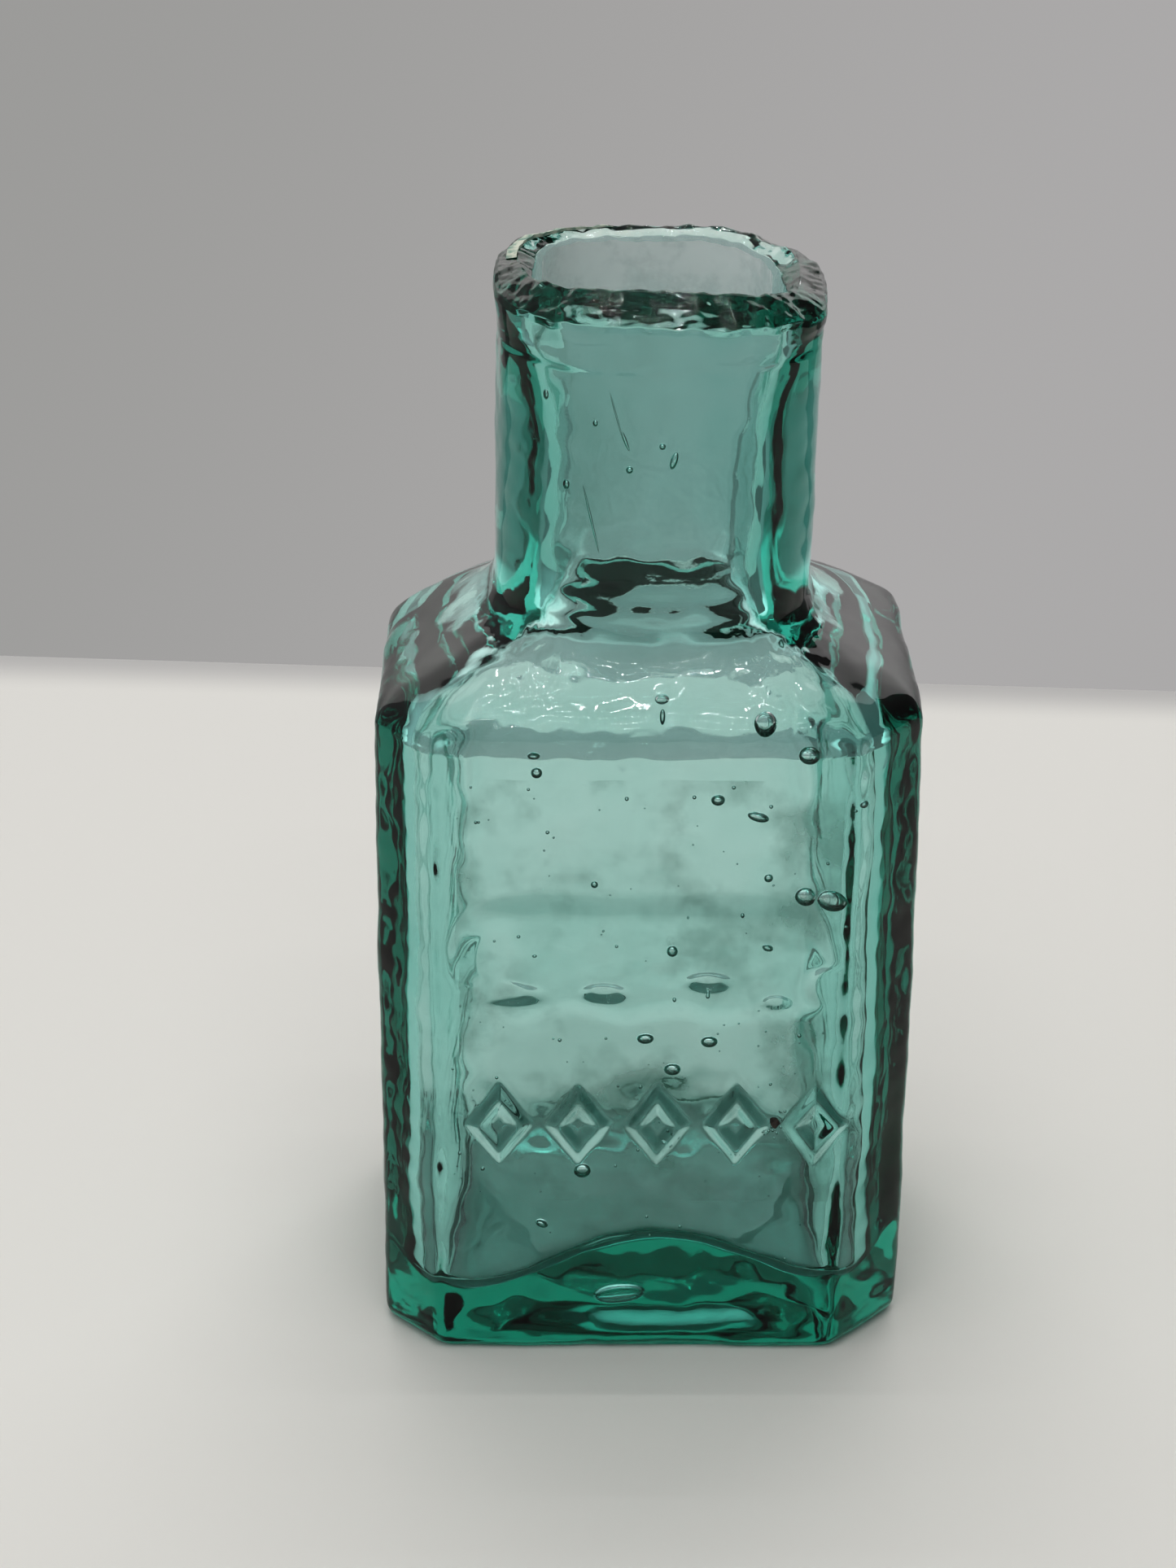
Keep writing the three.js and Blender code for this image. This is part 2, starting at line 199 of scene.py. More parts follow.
def sagged(skin, share):
    """Lowers rings of the shoulder; the share is 1 where they sag fully."""
    skin[..., 2] -= sag(skin[..., 0], skin[..., 1]) * share[:, None]
    return skin


def column(value, count):
    """One value, or one value per ring, as a column with a row for each ring."""
    return np.broadcast_to(np.asarray(value, float), (count,))[:, None]


def rings(z, half_x, half_y, legs, sharp, scale=1.0, shift=(0, 0)):
    """Rings of points: each argument is one value or one per ring, shift moves them in x and y."""
    z = np.atleast_1d(np.asarray(z, float))
    count = len(z)
    legs = [column(leg, count) for leg in legs]
    r = reach(ANGLES[None, :], column(half_x, count), column(half_y, count), legs, column(sharp, count))
    r = r * column(scale, count)
    x = r * np.cos(ANGLES) + column(shift[0], count)
    y = r * np.sin(ANGLES) + CENTRE_Y + column(shift[1], count)
    heights = np.repeat(z[:, None], len(ANGLES), axis=1)
    return np.stack([x, y, heights], axis=-1)


def blended(z, share, body, neck, sharps, body_shift=(0, 0), neck_shift=(0, 0)):
    """Rings part of the way from a body section (half_x, half_y, legs) to the neck's."""
    sharp = 1 / mix(1 / sharps[0], 1 / sharps[1], share)
    legs = [mix(leg, neck_leg, share) for leg, neck_leg in zip(body[2], neck[2])]
    shift = [mix(a, b, share) for a, b in zip(body_shift, neck_shift)]
    half_x, half_y = mix(body[0], neck[0], share), mix(body[1], neck[1], share)
    return rings(z, half_x, half_y, legs, sharp, shift=shift)


# ---- the outside of the glass, from under the base to the neck -------------------------

# The slope of the shoulder: share of the way to the neck at shares of the height.
OUTER_SLOPE = ([0, 0.1, 0.19, 0.27, 0.38, 0.5, 0.62, 0.76, 0.88, 1],
               [0, 0.02, 0.09, 0.2, 0.42, 0.66, 0.84, 0.95, 0.99, 1])
EDGE_INSET = 0.1                    # the body draws in this much at the shoulder's edge


def sole():
    """Rings of the underside, from the middle out."""
    scale = np.linspace(0.01, 1, 40)
    skin = rings(np.zeros(len(scale)), HALF_X - HEEL, HALF_Y - HEEL, CHAMFERS, SOLE_SHARP, scale)
    skin[..., 2] += DISH * (1 - smoothstep(0.45, 0.8, scale))[:, None]
    return skin


def outer_wall():
    """Rings of the body: a rounded heel, then closely spaced rings that carry the relief."""
    z = np.concatenate([np.linspace(0.05, 2.4, 14), np.arange(2.6, SHOULDER_EDGE, 0.19)])
    inset = eased(z, [0, 0.35, 1.0, 2.2, 12, 40, SHOULDER_EDGE],
                  [HEEL, 0.25, 0.08, 0.02, 0, 0, EDGE_INSET], 3)
    legs = [leg + inset * 0.4 for leg in CHAMFERS]
    skin = rings(z, HALF_X - inset, HALF_Y - inset, legs, BODY_SHARP)
    return sagged(skin, smoothstep(SHOULDER_EDGE - 14, SHOULDER_EDGE, z))


def neck_plan(grow=0.0):
    """Plan of the neck, or of the lip where it grows out of it."""
    half = NECK_HALF + grow
    return half, half, [leg * half / NECK_HALF for leg in NECK_CHAMFERS]


def outer_shoulder():
    """Rings of the slope from the body to the neck."""
    up = np.linspace(0, 1, 46)
    share = eased(up, *OUTER_SLOPE)
    z = SHOULDER_EDGE + (NECK_BOTTOM - SHOULDER_EDGE) * up
    body = (HALF_X - EDGE_INSET, HALF_Y - EDGE_INSET, CHAMFERS)
    return sagged(blended(z, share, body, neck_plan(), (BODY_SHARP, NECK_SHARP)), 1 - up)


def outer_neck():
    """Rings of the neck below the lip."""
    z = np.arange(NECK_BOTTOM + 0.3, LIP_BOTTOM, 0.3)
    half_x, half_y, legs = neck_plan()
    return rings(z, half_x, half_y, legs, NECK_SHARP)


# ---- the lip ---------------------------------------------------------------------------

# Rings between one station across the lip's wall and the next.
LIP_RINGS = [4, 5, 6, 6, 6, 9, 9, 5, 10, 8, 8, 3]


def breakage(angle, offset):
    """Uneven break of the glass round the lip, between about -1 and 1."""
    slow = 0.45 * np.sin(3 * angle + offset) + 0.2 * np.sin(7 * angle + 2.1 * offset)
    fast = 0.2 * np.sin(19 * angle + 5 * offset) + 0.15 * np.sin(43 * angle + offset)
    return slow + fast


def frontness(angle):
    """1 at the front, 0 at the back."""
    return (1 - np.sin(angle)) / 2


def crest_height(angle):
    """The break stands highest at the front and falls away to the back and the right."""
    back_fall = 1.1 * (1 - frontness(angle))
    right_fall = 0.9 * np.maximum(0, np.cos(angle)) ** 2
    hump = 0.3 * np.exp(-(((angle - 1.2) / 0.3) ** 2))
    nibbles = 0.03 * np.sin(23 * angle + 1) + 0.2 * breakage(angle, 0.7)
    return HEIGHT - 0.15 - back_fall - right_fall + hump + nibbles


def outer_drop(angle):
    """How far the outer edge lies below the crest."""
    front = np.maximum(0, -np.sin(angle)) ** 0.7
    return 0.25 + 1.2 * front + 0.15 * (1 + breakage(angle, 2.4)) / 2


def crest_share(angle):
    """Where the crest runs across the wall: near the bore at the front."""
    return 0.5 - 0.2 * np.sin(angle)


def lip_stations():
    """Stations across the lip, outside to bore: share of the wall, outward growth, height."""
    crest = crest_height(ANGLES)
    outer_edge = crest - outer_drop(ANGLES)
    front = frontness(ANGLES)
    inner_edge = crest - 0.45 - 0.4 * front - 0.1 * breakage(ANGLES, 1)
    top = crest_share(ANGLES)
    level = np.full_like(ANGLES, LIP_BOTTOM)
    outside, bore = np.zeros_like(ANGLES), np.ones_like(ANGLES)
    rise = [(outside, 0.0, level), (outside, 0.06, level + 1.0), (outside, 0.22, outer_edge - 1.3),
            (outside, 0.28, outer_edge - 0.8), (outside, 0.2, outer_edge - 0.3)]
    over = [(outside + 0.05, 0.05, outer_edge), (top * 0.5, 0.0, (crest + outer_edge) / 2),
            (top * 0.9, 0.0, crest - 0.06), (top, 0.0, crest)]
    fall = [(0.94 - 0.16 * front, 0.0, inner_edge), (0.97 - 0.07 * front, 0.0, crest - 2.0),
            (bore, 0.0, level + 0.6), (bore, 0.0, level)]
    return rise + over + fall


def lip_ring(bore, station, following, t):
    """Ring part of the way from one station of the lip to the one that follows."""
    share, grow, z = [a * (1 - t) + b * t for a, b in zip(station, following)]
    half_x, half_y, legs = neck_plan(grow)
    outside = rings(0, half_x, half_y, legs, NECK_SHARP)[0]
    ring = mix(outside, bore, share[:, None])
    ring[:, 2] = z
    return ring


def lip():
    """Rings from the outside of the lip over its broken crest to the bore."""
    (half_x, half_y, legs), shift = bore_plan(LIP_BOTTOM)
    bore = rings(0, half_x, half_y, legs, BORE_SHARP, shift=shift)[0]
    stations = lip_stations()
    made = []
    for station, following, count in zip(stations, stations[1:], LIP_RINGS):
        made += [lip_ring(bore, station, following, k / count) for k in range(count)]
    made.append(lip_ring(bore, stations[-2], stations[-1], 1))
    return np.array(made)


# ---- the inside of the glass, from the bore to the floor -------------------------------

# The slope inside the shoulder: share of the way to the bore at shares of the height.
INNER_SLOPE = ([0, 0.1, 0.24, 0.38, 0.52, 0.68, 0.84, 1],
               [0, 0.08, 0.25, 0.48, 0.72, 0.9, 0.975, 1])


def bore_plan(z):
    """Plan of the bore, which is off centre and narrows in width below the lip."""
    below = 1 - smoothstep(LIP_BOTTOM - 6.5, LIP_BOTTOM + 2.5, np.asarray(z, float))
    narrow = NECK_TAPER * below
    half_y = NECK_HALF - (NECK_FRONT + NECK_BACK) / 2
    legs = [leg - 0.3 * narrow for leg in BORE_CHAMFERS]
    return (NECK_HALF - NECK_SIDE - narrow, half_y, legs), (-0.14, (NECK_FRONT - NECK_BACK) / 2)


def inner_neck():
    """Rings of the bore, down to where the hollow widens."""
    z = np.arange(LIP_BOTTOM - 0.3, NECK_BOTTOM + ROOT_RISE, -0.35)
    (half_x, half_y, legs), shift = bore_plan(z)
    return rings(z, half_x, half_y, legs, BORE_SHARP, shift=shift)


def cavity_plan(t, inset=0.0):
    """Plan of the hollow at a share of its height: round-cornered at the floor, squarer above."""
    up = smoothstep(-0.5, 0.08, np.asarray(t, float))
    front, back, side = [mix(a, b, up) for a, b in zip(FLOOR_WALLS, BODY_WALLS)]
    front_leg, back_leg = [mix(a, b, up) for a, b in zip(FLOOR_LEGS, BODY_LEGS)]
    legs = [leg + (front_leg if i < 2 else back_leg) for i, leg in enumerate(CHAMFERS)]
    plan = (HALF_X - side - inset, HALF_Y - (front + back) / 2 - inset, legs)
    return plan, (HOLLOW_SHIFT * up, (front - back) / 2)


def inner_shoulder():
    """Rings that widen from the bore to the hollow of the body."""
    up = np.linspace(1, 0, 40)
    share = eased(up[::-1], *INNER_SLOPE)[::-1]
    z = SHOULDER_EDGE + (NECK_BOTTOM + ROOT_RISE - SHOULDER_EDGE) * up - SHOULDER_DROP * (1 - up)
    plan, shift = cavity_plan(1)
    bore, bore_shift = bore_plan(NECK_BOTTOM)
    return sagged(blended(z, share, plan, bore, (CAVITY_SHARP, BORE_SHARP), shift, bore_shift), 1 - up)


def floor_height(x, y):
    """Height of the floor inside: a hump against the front wall that falls away to the back."""
    across = np.clip(np.abs((x - HUMP_MIDDLE) / (HALF_X - SIDE_WALL)), 0, 1)
    along = np.clip((y - CENTRE_Y) / (HALF_Y - SIDE_WALL), -1, 1)
    hump = np.cos(across * math.pi / 2) ** 2
    return FLOOR_EDGE + FLOOR_RISE * hump * (0.1 + 0.9 * ((1 - along) / 2) ** 1.3)


def inner_wall():
    """Rings of the hollow's walls, down to the rounding over the floor."""
    t = np.linspace(1, 0, 150)
    (half_x, half_y, legs), shift = cavity_plan(t)
    skin = rings(np.zeros(len(t)), half_x, half_y, legs, CAVITY_SHARP, shift=shift)
    floor = floor_height(skin[..., 0], skin[..., 1]) + FLOOR_CORNER
    skin[..., 2] = mix(floor, SHOULDER_EDGE - SHOULDER_DROP - 0.2, t[:, None])
    return sagged(skin, smoothstep(0.7, 1, t))


def floor_inside():
    """Rings of the rounding over the floor, then of the floor from its edge inwards."""
    turn = np.linspace(0, math.pi / 2, 14)[1:]
    inset = FLOOR_CORNER * (1 - np.cos(turn))
    (half_x, half_y, legs), shift = cavity_plan(0, inset)
    corner = rings(np.zeros(len(turn)), half_x, half_y, legs, CAVITY_SHARP, shift=shift)
    rise = FLOOR_CORNER * (1 - np.sin(turn))
    corner[..., 2] = floor_height(corner[..., 0], corner[..., 1]) + rise[:, None]
    scale = np.linspace(0.97, 0.01, 44)
    (half_x, half_y, legs), shift = cavity_plan(0, FLOOR_CORNER)
    flat = rings(np.zeros(len(scale)), half_x, half_y, legs, CAVITY_SHARP, scale, shift)
    flat[..., 2] = floor_height(flat[..., 0], flat[..., 1])
    return np.concatenate([corner, flat])


# ---- the raised ornament on the front --------------------------------------------------

MOTIFS = 5
MOTIF_PITCH = 5.7
STONE_PLACE = 3.5                   # the stone lies between the fourth and the fifth diamond
DIAMOND_HALF_WIDTH = 2.2
DIAMOND_HALF_HEIGHT = 3.1
STROKE_MIDDLE = 0.55                # the raised stroke runs this far inside the outline
STROKE_HALF = 0.85

# Lens-like dents along the lower edge of the worn panel: x, z, half width, half height, depth.
PANEL_DENTS = [
    (-11.0, 33.0, 2.4, 3.4, 1.3), (-10.2, 30.2, 2.8, 0.9, 1.3), (-3.2, 30.3, 1.7, 0.7, 1.3),
    (4.2, 31.3, 1.7, 0.7, 1.3), (9.0, 29.6, 1.0, 0.6, 1.2), (12.4, 31.0, 1.3, 1.5, 1.2),
]


def diamond_distance(x, z):
    """Distance outside (+) or inside (-) a diamond outline, from its middle."""
    half_w, half_h = DIAMOND_HALF_WIDTH, DIAMOND_HALF_HEIGHT
    return (np.abs(x) / half_w + np.abs(z) / half_h - 1) / math.hypot(1 / half_w, 1 / half_h)


def motif_lift(x, z):
    """Share of the full relief where the diamond frames stand."""
    lift = np.zeros_like(x)
    stone_x, stone_z = STONE_MIDDLE
    for i in range(MOTIFS):
        d = diamond_distance(x - (stone_x + MOTIF_PITCH * (i - STONE_PLACE)), z - stone_z)
        across_stroke = np.clip((d + STROKE_MIDDLE) / STROKE_HALF, -1, 1)
        lift = np.maximum(lift, np.cos(across_stroke * math.pi / 2) ** 2)
    return lift


def panel_lift(x, z):
    """Share of the full relief on the worn panel, less its dents."""
    panel_x, _, panel_z = (PANEL_LOW + PANEL_HIGH) / 2
    radius = (PANEL_HIGH[2] - PANEL_LOW[2]) / 2
    straight = (PANEL_HIGH[0] - PANEL_LOW[0]) / 2 - radius
    away = np.hypot(np.maximum(0, np.abs(x - panel_x) - straight), z - panel_z) - radius
    worn = smoothstep(0.6, -1.6, away + 0.35 * np.sin(x * 0.9) * smoothstep(2, -2, z - panel_z))
    for dent_x, dent_z, width, height, depth in PANEL_DENTS:
        away = np.hypot((x - dent_x) / width, (z - dent_z) / height)
        worn = worn - depth * smoothstep(1.25, 0.2, away)
    return worn


# ---- the whole skin, with its unevenness -----------------------------------------------

# Layers of (depth, wavelength, seed).
OUTER_RIPPLE = [(0.05, 9, 11), (0.018, 2.6, 12)]
INNER_RIPPLE = [(0.07, 14, 21), (0.012, 4, 22)]
WRINKLES = [(0.03, 1.6, 13), (0.012, 0.7, 14)]
CHIPS = [(0.06, 3.2, 31), (0.025, 1.2, 32), (0.008, 0.6, 33)]
LIP_RIPPLE = [(0.03, 4, 34)]

# Where the shoulder's front corners are wrinkled: distance from the middle and below the neck, half sizes.
WRINKLE_X = 8.5
WRINKLE_DROP = 3.5
WRINKLE_HALF_WIDTH = 3.2
WRINKLE_HALF_HEIGHT = 2.4


def outer_move(p):
    """How far the outside stands off its even shape: ripples, wrinkled corners and relief."""
    move = ripple(p, OUTER_RIPPLE)
    for side in (-1, 1):
        across = (p[..., 0] - side * WRINKLE_X) / WRINKLE_HALF_WIDTH
        along = (p[..., 2] - NECK_BOTTOM + WRINKLE_DROP) / WRINKLE_HALF_HEIGHT
        wrinkled = np.exp(-(across ** 2 + along ** 2)) * (p[..., 1] < CENTRE_Y)
        move += wrinkled * ripple(p, WRINKLES)
    on_front = np.abs(p[..., 1] - FRONT_Y) < 0.3
    lift = np.maximum(motif_lift(p[..., 0], p[..., 2]), panel_lift(p[..., 0], p[..., 2]))
    return move + np.where(on_front, lift * RELIEF, 0)


def rim_move(p):
    """How far the lip stands off its even shape: chipped over the crest, rippled elsewhere."""
    t = np.linspace(0, 1, len(p))[:, None]
    rough = smoothstep(0.2, 0.36, t) * (1 - smoothstep(0.74, 0.9, t))
    return rough * ripple(p, CHIPS) + (1 - rough) * ripple(p, LIP_RIPPLE)


def grid_normals(skin):
    """Outward directions of a skin given as rings."""
    along = np.gradient(skin, axis=0)
    across = (np.roll(skin, -1, axis=1) - np.roll(skin, 1, axis=1)) / 2
    normal = np.cross(across, along)
    length = np.linalg.norm(normal, axis=-1, keepdims=True)
    return normal / np.maximum(length, 1e-9)


def glass_skin():
    """One skin from under the base, over the lip, to the middle of the floor inside."""
    under, rim = sole(), lip()
    outside = np.concatenate([outer_wall(), outer_shoulder(), outer_neck()])
    inside = np.concatenate([inner_neck(), inner_shoulder(), inner_wall(), floor_inside()])
    skin = np.concatenate([under, outside, rim, inside])
    move = np.concatenate([np.zeros(under.shape[:2]), outer_move(outside), rim_move(rim),
                           ripple(inside, INNER_RIPPLE)])
    skin = skin + grid_normals(skin) * move[..., None]
    skin[..., 0] += lean(skin[..., 2])
    return skin


# ---- meshes ----------------------------------------------------------------------------

def mesh_object(name, points, faces, smooth=True):
    """Mesh object from points in millimetres."""
    mesh = bpy.data.meshes.new(name)
    mesh.from_pydata((np.asarray(points) * MM).tolist(), [], faces)
    mesh.polygons.foreach_set("use_smooth", [smooth] * len(mesh.polygons))
    mesh.validate()
    mesh.update()
    obj = bpy.data.objects.new(name, mesh)
    bpy.context.scene.collection.objects.link(obj)
    return obj


def skin_faces(rows, columns):
    """Quads between closed rings that follow each other."""
    index = np.arange(rows * columns).reshape(rows, columns)
    beside = np.roll(index, -1, axis=1)
    quads = np.stack([index[:-1], beside[:-1], beside[1:], index[1:]], axis=-1).reshape(-1, 4)
    return quads.tolist()


def close_ends(points, faces, rows, columns):
    """Closes the first and last rings with a point each."""
    first = points[:columns].mean(axis=0)
    last = points[-columns:].mean(axis=0)
    total = len(points)
    top = (rows - 1) * columns
    for i in range(columns):
        j = (i + 1) % columns
        faces.append([total, j, i])
        faces.append([total + 1, top + i, top + j])
    return np.vstack([points, first, last])


def ball_points(segments, rows):
    """Points of a ball of radius 1: rings from the top down, then the two poles."""
    points = []
    for r in range(1, rows):
        a = math.pi * r / rows
        for s in range(segments):
            b = TAU * s / segments
            points.append((math.sin(a) * math.cos(b), math.sin(a) * math.sin(b), math.cos(a)))
    return np.array(points + [(0, 0, 1), (0, 0, -1)])


def ball_faces(segments, rows):
    """Faces of that ball, facing inwards."""
    faces = []
    for r in range(rows - 2):
        for s in range(segments):
            a, b = r * segments + s, r * segments + (s + 1) % segments
            faces.append([a, b, b + segments, a + segments])
    top = (rows - 1) * segments
    last = (rows - 2) * segments
    for s in range(segments):
        n = (s + 1) % segments
        faces.append([top, n, s])
        faces.append([top + 1, last + s, last + n])
    return faces


def bubble(centre, size, tilt=0.0, segments=20, rows=12):
    """Skin of a gas bubble, facing into its hollow, tilted in the plane of the front."""
    c, s = math.cos(tilt), math.sin(tilt)
    turn = np.array([[c, 0, s], [0, 1, 0], [-s, 0, c]])
    points = (ball_points(segments, rows) * np.array(size) / 2) @ turn.T + np.array(centre)
    return points, ball_faces(segments, rows)


# ---- gas bubbles -----------------------------------------------------------------------

# Bubbles in the front wall: x, z, width, height, tilt.
FRONT_SEEDS = [
    (10.8, 37.5, 1.5, 1.5, 0.0), (12.7, 37.2, 2.2, 1.6, 0.3), (7.6, 50.6, 1.6, 1.9, 0.0),
    (10.7, 48.4, 1.5, 1.3, 0.2), (-8.3, 48.3, 0.9, 0.5, 0.0), (-8.1, 47.0, 0.8, 0.8, 0.0),
    (-4.0, 38.4, 0.5, 0.5, 0.0), (1.6, 33.3, 0.8, 0.9, 0.0), (4.5, 45.0, 1.0, 0.8, 0.0),
    (7.3, 43.7, 1.6, 0.7, 0.3), (14.5, 44.6, 0.7, 0.5, 0.0), (8.2, 39.0, 0.6, 0.6, 0.0),
    (-0.2, 26.1, 1.2, 0.8, 0.0), (4.4, 25.9, 1.2, 0.9, 0.0), (1.8, 23.6, 1.2, 1.0, 0.0),
    (-4.6, 15.1, 1.3, 1.2, 0.0), (-7.5, 10.6, 1.0, 0.6, 0.4), (8.3, 33.6, 0.8, 0.5, 0.3),
]

# Bubbles drawn out in the front of the neck: x, z, width, height, tilt.
NECK_SEEDS = [
    (1.1, 68.1, 0.5, 1.25, 0.25), (0.3, 69.1, 0.45, 0.45, 0.0), (-1.9, 67.4, 0.5, 0.5, 0.0),
    (-4.2, 70.7, 0.35, 0.45, 0.0), (-6.1, 66.1, 0.5, 0.7, 0.0), (-7.4, 72.1, 0.45, 0.7, 0.0),
    (-2.8, 71.2, 0.12, 3.6, -0.27), (-4.4, 63.8, 0.16, 5.0, -0.23), (-2.2, 69.5, 0.24, 1.5, -0.35),
]

SEED_DEPTH = 1.15                   # depth of those bubbles below the surface
SEED_MAX_THICK = 1.0                # no bubble is thicker than this across the wall
SCATTERED_SEEDS = 110
STONE_SEEDS = 14


def scattered_seeds():
    """Pin-prick bubbles at random, over the front wall and in a cluster beside the stone."""
    rng = np.random.default_rng(5)
    made = []
    for _ in range(SCATTERED_SEEDS):
        x, z = rng.uniform(-14, 14), rng.uniform(7, 46)
        size = 0.1 + 0.24 * rng.uniform() ** 2
        depth = rng.uniform(0.7, 1.6)
        made.append(bubble((x, FRONT_Y + depth, z), (size, size, size), segments=10, rows=7))
    for _ in range(STONE_SEEDS):
        x, z = STONE_MIDDLE + rng.normal(0, 0.45, 2) + (-0.2, -0.8)
        size = rng.uniform(0.12, 0.3)
        depth = rng.uniform(0.3, 1.0)
        made.append(bubble((x, FRONT_Y + depth, z), (size, size, size), segments=8, rows=6))
    return made


def bubbles():
    """All the bubbles, each as points and faces."""
    made = []
    neck_y = CENTRE_Y - NECK_HALF
    neck_flat = NECK_HALF - NECK_CHAMFERS[0]
    for x, z, width, height, tilt in FRONT_SEEDS:
        size = (width, min(width, SEED_MAX_THICK), height)
        made.append(bubble((x, FRONT_Y + SEED_DEPTH, z), size, tilt))
    for x, z, width, height, tilt in NECK_SEEDS:
        size = (width, min(width, SEED_MAX_THICK), height)
        wall_y = neck_y + max(0, abs(x) - neck_flat)
        made.append(bubble((x, wall_y + SEED_DEPTH, z), size, tilt))
    # a tailed bubble on the shoulder, and a large flat one in the floor
    made.append(bubble((0.5, neck_y - 2.6, 51.9), (1.0, 0.8, 0.8)))
    made.append(bubble((0.55, neck_y - 3.2, 50.8), (0.4, 0.4, 1.2)))
    made.append(bubble((-1.7, FRONT_Y + 2.2, 4.2), (4.0, 2.2, 1.6), -0.1))
    return made + scattered_seeds()


# ---- the pieces ------------------------------------------------------------------------

STONE_LUMPS = [(0.16, 0.55, 41), (0.05, 0.2, 42)]
FILM_GAP = 0.22                     # the films lie this far off the glass
MOUTH_FILM_DEPTH = 4.6


def make_glass():
    """The glass, with its bubbles as hollows in the same mesh."""
    skin = glass_skin()
    rows, columns = skin.shape[:2]
    faces = skin_faces(rows, columns)
    points = close_ends(skin.reshape(-1, 3), faces, rows, columns)
    blocks = [points]
    start = len(points)
    for seed_points, seed_faces in bubbles():
        faces += [[i + start for i in face] for face in seed_faces]
        blocks.append(seed_points)
        start += len(seed_points)
    return mesh_object("bottle_glass", np.vstack(blocks), faces)


def make_stone():
    """A lumpy grain that fills the same place as the CAD one."""
    middle = (STONE_LOW + STONE_HIGH) / 2
    points, faces = bubble((0, 0, 0), STONE_HIGH - STONE_LOW, segments=24, rows=16)
    points *= 1 + ripple(points, STONE_LUMPS)[:, None]
    return mesh_object("stone", points + middle, [face[::-1] for face in faces])


def sheet(name, grid):
    """An open sheet from a grid of points."""
    rows, columns = grid.shape[:2]
    faces = []
    for r in range(rows - 1):
        for c in range(columns - 1):
            a = r * columns + c
            faces.append([a, a + 1, a + columns + 1, a + columns])
    return mesh_object(name, grid.reshape(-1, 3), faces)


def mouth_film():
    """Lime left on the inside of the mouth, along the back."""
    angles = np.radians(np.linspace(8, 172, 120))
    (half_x, half_y, legs), shift = bore_plan(LIP_BOTTOM)
    r = reach(angles, half_x, half_y, legs, BORE_SHARP) - FILM_GAP
    top = crest_height(angles) - 0.7
    rows = []
    for share in np.linspace(0, 1, 16):
        z = top - share * (MOUTH_FILM_DEPTH + 0.5 * breakage(angles, 3))
        x = r * np.cos(angles) + shift[0] + lean(z)
        rows.append(np.stack([x, r * np.sin(angles) + CENTRE_Y + shift[1], z], axis=-1))
    return sheet("lime_film_mouth", np.array(rows))


def wall_film():
    """Faint lime on the inside of the front wall."""
    x, z = np.meshgrid(np.linspace(-13.5, 13.5, 60), np.linspace(12, 46, 70))
    y = np.full_like(x, FRONT_Y + FRONT_WALL + FILM_GAP)
    grid = np.stack([x + lean(z), y, z], axis=-1)
    grid[..., 1] += ripple(grid, [(0.04, 6, 51)])
    return sheet("lime_film_wall", grid)


# ---- nodes for the materials -----------------------------------------------------------

def new_material(name):
    """Empty node material, with its nodes and links."""
    material = bpy.data.materials.new(name)
    material.use_nodes = True
    return material, material.node_tree.nodes, material.node_tree.links


def noise(nodes, links, scale, detail=5):
    """Noise that follows the object's own coordinates."""
    place = nodes.new("ShaderNodeTexCoord")
    grain = nodes.new("ShaderNodeTexNoise")
    grain.inputs["Scale"].default_value = scale
    grain.inputs["Detail"].default_value = detail
    links.new(place.outputs["Object"], grain.inputs["Vector"])
    return grain.outputs["Fac"]


def ramp(nodes, links, value, stops):
    """A colour ramp read at a value, with (position, colour) stops."""
    node = nodes.new("ShaderNodeValToRGB")
    node.color_ramp.interpolation = "EASE"
    for element, (place, colour) in zip(node.color_ramp.elements, stops):
        element.position = place
        element.color = (*colour, 1)
    links.new(value, node.inputs["Fac"])
    return node.outputs["Color"]


def map_range(nodes, links, value, source, target=(0, 1), smooth=False):
    """Maps a value from one span to another."""
    node = nodes.new("ShaderNodeMapRange")
    if smooth:
        node.interpolation_type = "SMOOTHSTEP"
    node.inputs["From Min"].default_value, node.inputs["From Max"].default_value = source
    node.inputs["To Min"].default_value, node.inputs["To Max"].default_value = target
    links.new(value, node.inputs["Value"])
    return node.outputs[0]


def along(nodes, links, vector, direction):
    """How far a vector goes along a direction."""
    node = nodes.new("ShaderNodeVectorMath")
    node.operation = "DOT_PRODUCT"
    node.inputs[1].default_value = direction
    links.new(vector, node.inputs[0])
    return node.outputs["Value"]


def bump(nodes, links, height, strength, distance):
    """Small relief for a shader's normal; the distance is in millimetres."""
    node = nodes.new("ShaderNodeBump")
    node.inputs["Strength"].default_value = strength
    node.inputs["Distance"].default_value = distance * MM
    links.new(height, node.inputs["Height"])
    return node.outputs[0]


def glowing(name):
    """Material that only gives off light, with its nodes, links and emission node."""
    material, nodes, links = new_material(name)
    nodes.remove(nodes["Principled BSDF"])
    glow = nodes.new("ShaderNodeEmission")
    links.new(glow.outputs[0], nodes["Material Output"].inputs["Surface"])
    return material, nodes, links, glow


# ---- materials of the bottle -----------------------------------------------------------

GLASS_TINT = (0.16, 0.718, 0.655, 1)
GLASS_DENSITY = 178
DARK_STONE = [(0.3, (0.012, 0.008, 0.006)), (0.7, (0.10, 0.045, 0.025))]
PALE_LIME = [(0.35, (0.24, 0.36, 0.30)), (0.65, (0.66, 0.68, 0.58))]


